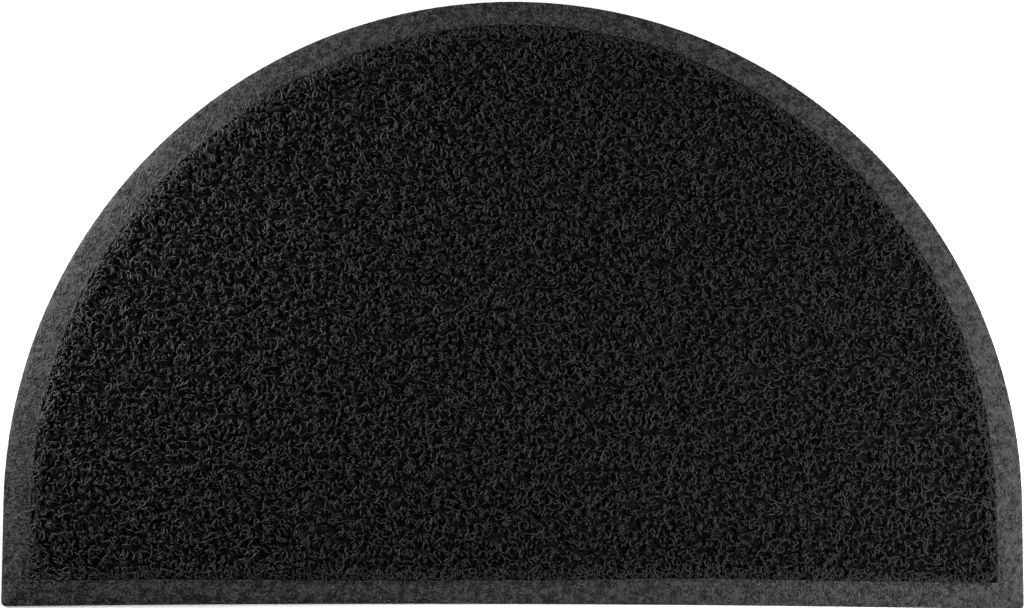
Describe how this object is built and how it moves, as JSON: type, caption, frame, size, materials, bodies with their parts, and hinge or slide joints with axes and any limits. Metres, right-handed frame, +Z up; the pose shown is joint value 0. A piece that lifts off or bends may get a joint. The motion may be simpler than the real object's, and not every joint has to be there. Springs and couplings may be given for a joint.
{
  "type": "half round doormat",
  "caption": "Flat half round doormat: an open field of curled vinyl filament inside a pressed flat border, straight along one side and arched along the other.",
  "frame": {"origin": "centre of the bounding box's underside, on the floor", "axes": "+X along the straight edge, +Y from the straight edge to the top of the arc, +Z up, out of the walking face"},
  "size_m": [0.75, 0.45, 0.0092],
  "materials": {
    "curled_vinyl": "black vinyl filament with a soft sheen",
    "pressed_vinyl": "the same filament pressed flat by heat, matte charcoal"
  },
  "bodies": {
    "root": {"coil_field": "curled_vinyl", "border": "pressed_vinyl"}
  },
  "joints": []
}
